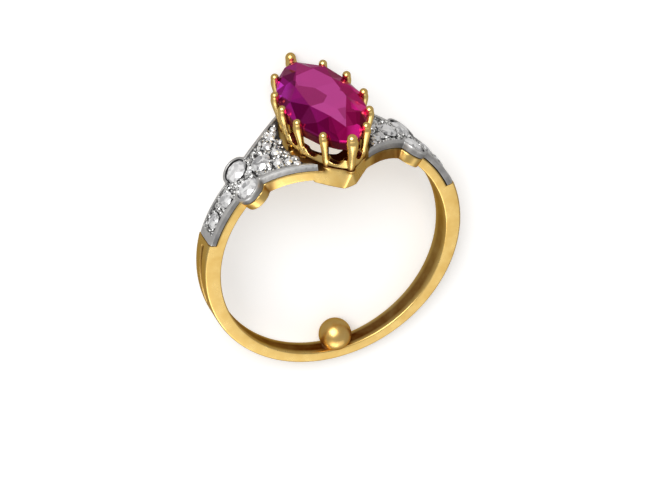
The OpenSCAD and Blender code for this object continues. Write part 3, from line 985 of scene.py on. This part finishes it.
def claw_lines():
    """One bent line a claw, with how thick it is along the way and the bead at its tip."""
    verts, edges, thick, bead = [], [], [], []
    for side, along, bead_y in CLAWS:
        big = END_CLAW if side == 0 else 1
        share = math.copysign(1, along) if side == 0 else along / LAST_CLAW
        z_foot, z_waist = COLLET_L * share, (RUBY_L + WAIST_OUT) * share
        x_waist = side * boat_x(RUBY_L + WAIST_OUT, RUBY_W + WAIST_OUT, z_waist)
        x_tip = side * boat_x(RUBY_L + TIP_OUT, RUBY_W + TIP_OUT, along)
        foot = Vector((side * boat_x(COLLET_L, COLLET_W, z_foot), FOOT_Y, z_foot))
        waist = Vector((x_waist, WAIST_Y, z_waist))
        tip = Vector((x_tip, bead_y, along))
        shaft = [foot, foot.lerp(waist, 0.4), foot.lerp(waist, 0.8)]
        path = shaft + [waist.lerp(tip, 0.15), waist.lerp(tip, 0.55), tip]
        start = len(verts)
        for p, s in zip(path, SWELL_OF_CLAW):
            verts.append(p)
            thick.append(CLAW_D / 2 * big * s)
            bead.append(0.0)
        bead[-1] = BEAD_D / 2 * big
        edges += [(start + k, start + k + 1) for k in range(len(path) - 1)]
    mesh = bpy.data.meshes.new("claw_lines")
    mesh.from_pydata(verts, edges, [])
    store(mesh, "thick", thick)
    store(mesh, "bead", bead)
    return mesh


line_mesh = claw_lines()
print("points on the claws' lines:", len(line_mesh.vertices))

# %% Claws by rule
tree, get = new_tree("claws_by_rule", [])
wire = add(tree, "GeometryNodeMeshToCurve", {"Mesh": get["Geometry"]})
spline = add(tree, "GeometryNodeCurveSplineType", {"Curve": out(tree, wire)}, spline_type="CATMULL_ROM")
circle = add(tree, "GeometryNodeCurvePrimitiveCircle", {"Resolution": 24, "Radius": 1.0})
swept = {"Curve": out(tree, spline), "Profile Curve": out(tree, circle), "Scale": named(tree, "thick")}
shafts = add(tree, "GeometryNodeCurveToMesh", {**swept, "Fill Caps": True})
tips = named(tree, "bead").math("GREATER_THAN", 0.0)
points = add(tree, "GeometryNodeMeshToPoints", {"Mesh": get["Geometry"], "Selection": tips})
round_tip = add(tree, "GeometryNodeMeshIcoSphere", {"Radius": 1.0, "Subdivisions": 4})
beads = add(
    tree,
    "GeometryNodeInstanceOnPoints",
    {"Points": out(tree, points), "Instance": out(tree, round_tip), "Scale": named(tree, "bead")},
)
both = add(tree, "GeometryNodeJoinGeometry")
tree.links.new(shafts.outputs[0], both.inputs[0])
tree.links.new(beads.outputs[0], both.inputs[0])
close_tree(tree, out(tree, both), get["Material"])
claws = grow(tree, "claws", {}, gold, line_mesh)
print("faces of the claws:", len(claws.polygons))

# %% [markdown]
# ## The gallery
# A low wall joins the claws' feet. An arch is filed into its upper edge between each two claws,
# so that light reaches the stone. The wall is drawn as one closed strip round the boat-shaped
# line, and each arch lowers the strip's upper edge where it is near. Two pegs hold it down.

# %% Gallery sizes
GALLERY_HALF, GALLERY_LOW, GALLERY_HIGH = 0.22, 9.4, 10.0
ARCH_R, ARCH_LIFT = 0.62, 0.25
PEG_R, PEG_Y, PEG_LONG = 0.2, 8.85, 0.8
# the claws, one on each side, beside which a peg stands
PEG_CLAWS = (3, 9)
print("gallery's height in mm:", round(GALLERY_HIGH - GALLERY_LOW, 2))


# %% Gallery's mesh
def gallery_mesh(steps=360):
    """Scalloped wall along the collet's feet."""
    t = np.linspace(0, 2 * math.pi, steps, endpoint=False)
    zs = COLLET_L * np.sin(t)
    xs = np.sign(np.cos(t)) * COLLET_W * np.maximum(1 - (zs / COLLET_L) ** 2, 0) ** POINT
    line = np.stack([xs, zs], 1)
    ahead = np.roll(line, -1, 0) - np.roll(line, 1, 0)
    ahead /= np.linalg.norm(ahead, axis=1)[:, None]
    side_way = np.stack([ahead[:, 1], -ahead[:, 0]], 1)
    top = np.full(steps, GALLERY_HIGH)
    for this, following in zip(CLAWS, CLAWS[1:] + CLAWS[:1]):
        z = (this[1] + following[1]) / 2 * COLLET_L / LAST_CLAW
        side = 1 if this[0] + following[0] > 0 else -1
        gap = np.linalg.norm(line - (side * boat_x(COLLET_L, COLLET_W, z), z), axis=1)
        dip = GALLERY_HIGH + ARCH_LIFT - np.sqrt(np.maximum(ARCH_R**2 - gap**2, 0))
        top = np.where(gap < ARCH_R, np.minimum(top, dip), top)
    low = np.full(steps, GALLERY_LOW)
    rows = []
    for off, height in ((-1, top), (1, top), (1, low), (-1, low)):
        p = line + side_way * off * GALLERY_HALF
        rows.append(np.stack([p[:, 0], height, p[:, 1]], 1))
    faces = []
    for row in range(4):
        here, up = row * steps, (row + 1) % 4 * steps
        for k in range(steps):
            ahead = (k + 1) % steps
            faces.append((here + k, here + ahead, up + ahead, up + k))
    mesh = bpy.data.meshes.new("gallery")
    mesh.from_pydata([tuple(v) for v in np.concatenate(rows)], [], faces)
    bm = bmesh.new()
    bm.from_mesh(mesh)
    bmesh.ops.recalc_face_normals(bm, faces=bm.faces)
    for side, along, _ in (CLAWS[k] for k in PEG_CLAWS):
        upright = Matrix.Translation((side * COLLET_W, PEG_Y, along)) @ Matrix.Rotation(math.pi / 2, 4, "X")
        peg = {"segments": 24, "radius1": PEG_R, "radius2": PEG_R, "depth": PEG_LONG}
        bmesh.ops.create_cone(bm, cap_ends=True, matrix=upright, **peg)
    bm.to_mesh(mesh)
    bm.free()
    return mesh


gallery = gallery_mesh()
print("faces of the gallery:", len(gallery.polygons))

# %% [markdown]
# ## The collet, worn and notched
# Claws and gallery are soldered together on the real ring. Remeshing joins them and rounds the
# joints as solder does. The ruby's own form, grown a little, is then taken out of them, which
# gives each claw the notch that holds the stone's edge.


# %% Collet
# the solids leave 0.04 mm round the ruby, and the finer claws here come a hair closer
NOTCH_GAP = 0.035


def grown_stone():
    """The ruby's own form, grown a little, that hollows the claws where it sits in them."""
    mesh = upright_copy("ruby")
    grown = numbers_of(mesh, "co") + numbers_of(mesh, "normal") * NOTCH_GAP
    mesh.vertices.foreach_set("co", grown.ravel())
    return mesh


collet = soften(joined(claws, gallery), voxel=0.04, rounds=7)
stone_form = bpy.data.objects.new("stone_form", grown_stone())
bpy.context.scene.collection.objects.link(stone_form)
cut = {"operation": "DIFFERENCE", "object": stone_form, "solver": "MANIFOLD"}
collet = apply_modifiers(collet, ("BOOLEAN", cut))
bpy.data.objects.remove(stone_form)
# the collet darkens towards its foot, below the stone: painted shade
foot = 0.8 * fall(numbers_of(collet, "co")[:, 1], 9.6, 0.35)
store(collet, "film_and_shade_share", np.maximum(hollow_map(collet), foot))
collet.materials.clear()
collet.materials.append(lit_claw_gold)
piece("gold_collet", collet, ["gold_mount"])

# %% [markdown]
# ## The ruby's finish
# Light that enters a ruby is turned back by its lower facets, so each facet of the crown shows
# one flat patch of red, some deep and some bright. Plain glass over a gold setting goes muddy, so
# the finish paints that light into the colour: the facet's own direction picks its painted tone,
# cells inside the stone break it up as the lower facets do, and the red runs from violet on one
# side to crimson on the other. The table gets a lighter, patchy painted reflection, and the ends
# get painted glints. Its wall below the edge is painted nearly black: painted shade.

# %% Ruby finish
UP = LAY_DOWN.to_3x3() @ Vector((0, 1, 0)) / MM
ALONG = LAY_DOWN.to_3x3() @ Vector((0.9, 0, 0.42)) / MM
STONE_AT = LAY_DOWN @ Vector((0, GIRDLE_Y, 0))
RUBY_BODY = {"IOR": 1.6, "Transmission Weight": 0.2, "Metallic": 0.6, "Specular Tint": (1, 0.03, 0.5, 1)}
# how squarely the table faces up, and how far from the middle in mm the ends' painted glints begin
TABLE_FACING, GLINT_FROM = 0.985, 1.9


def ruby_finish():
    """Magenta stone with painted light: a painted tone on each facet, a painted table reflection,
    painted glints at its ends and painted shade on its wall below the girdle.
    """
    m, t, shader = new_finish("ruby_red", RUBY_BODY)
    place = out(t, add(t, "ShaderNodeTexCoord"), "Object")
    face = out(t, add(t, "ShaderNodeNewGeometry"), "True Normal")
    facet, inner, spark = facet_tone(t, 600.0)
    table = dot(t, face, UP).math("GREATER_THAN", TABLE_FACING)
    high = (dot(t, place, UP) - STONE_AT.dot(UP)) / MM
    side = (dot(t, place, ALONG) - STONE_AT.dot(ALONG)) / MM
    # painted shade: the wall below the girdle goes nearly black
    wall = clip((high - 0.04) * -12.0)
    # painted glints on some facets near the ends, off the table
    at_ends = clip((side.math("ABSOLUTE") - GLINT_FROM) * 2.0)
    painted_glint = at_ends * clip(spark * 8.0 - 4.6) * (table * -1.0 + 1.0)
    # a painted tone on each facet, from deep red to bright
    painted_facet_light = clip(facet * 0.9 + inner * 0.45 - 0.47)
    right = clip(side * 0.22 + 0.6 + (inner - 0.5) * 0.5)
    deep = blend(t, right, (0.13, 0.0005, 0.055), (0.15, 0.0003, 0.016))
    bright = blend(t, right, (0.62, 0.02, 0.42), (0.64, 0.008, 0.2))
    red = blend(t, painted_facet_light, deep, bright)
    painted_glint_colour = blend(t, right, (0.85, 0.07, 0.85), (0.95, 0.02, 0.35))
    red = blend(t, painted_glint, red, painted_glint_colour)
    # a lighter, patchy colour on the table: painted reflection
    planes = out(t, add(t, "ShaderNodeTexVoronoi", {"Vector": place, "Scale": 430.0}), "Color")
    plane = out(t, add(t, "ShaderNodeSeparateColor", {0: planes}), 1)
    painted_table_light = blend(t, clip(plane * 1.4 - 0.2), (0.5, 0.05, 0.22), (0.86, 0.12, 0.5))
    red = blend(t, table * 0.85, red, painted_table_light)
    red = blend(t, wall * 0.9, red, (0.07, 0.0005, 0.006))
    t.links.new(red.socket, shader.inputs["Base Color"])
    t.links.new((wall * 0.3 + 0.03).socket, shader.inputs["Roughness"])
    return m


ruby_glass = ruby_finish()
print("nodes in the ruby's finish:", len(ruby_glass.node_tree.nodes))

# %% [markdown]
# ## The diamonds' finish
# An old-cut diamond shows clear white next to grey and near-black, all in one stone. The same
# trick paints each facet's grey, as a painted reflection. A little of the stone stays clear, so
# the silver shows through.


# %% Diamond finish
DIAMOND_BODY = {"Roughness": 0.02, "IOR": 2.2, "Transmission Weight": 0.2, "Metallic": 0.25}


def diamond_finish():
    """Clear stone with some facets painted bright and some grey, as painted reflections of an old cut."""
    m, t, shader = new_finish("diamond_clear", DIAMOND_BODY)
    facet, inner, _ = facet_tone(t, 3500.0)
    # painted reflections: each facet painted from dark grey to white
    painted_facet_grey = blend(t, clip(facet * 0.9 + inner * 0.9 - 0.05), (0.14, 0.14, 0.15), (1, 1, 1))
    t.links.new(painted_facet_grey.socket, shader.inputs["Base Color"])
    return m


diamond_glass = diamond_finish()
print("nodes in the diamonds' finish:", len(diamond_glass.node_tree.nodes))

# %% [markdown]
# ## The stones
# The stones are cut by the solids already, with flat facets and sharp edges. They stay as they
# are and only take their finish.

# %% Stones
nodes["ruby"].data.materials.clear()
nodes["ruby"].data.materials.append(ruby_glass)
for name, o in nodes.items():
    if name.startswith("diamond"):
        o.data.materials.clear()
        o.data.materials.append(diamond_glass)
print("stones finished:", sum(name.startswith("diamond") for name in nodes) + 1)
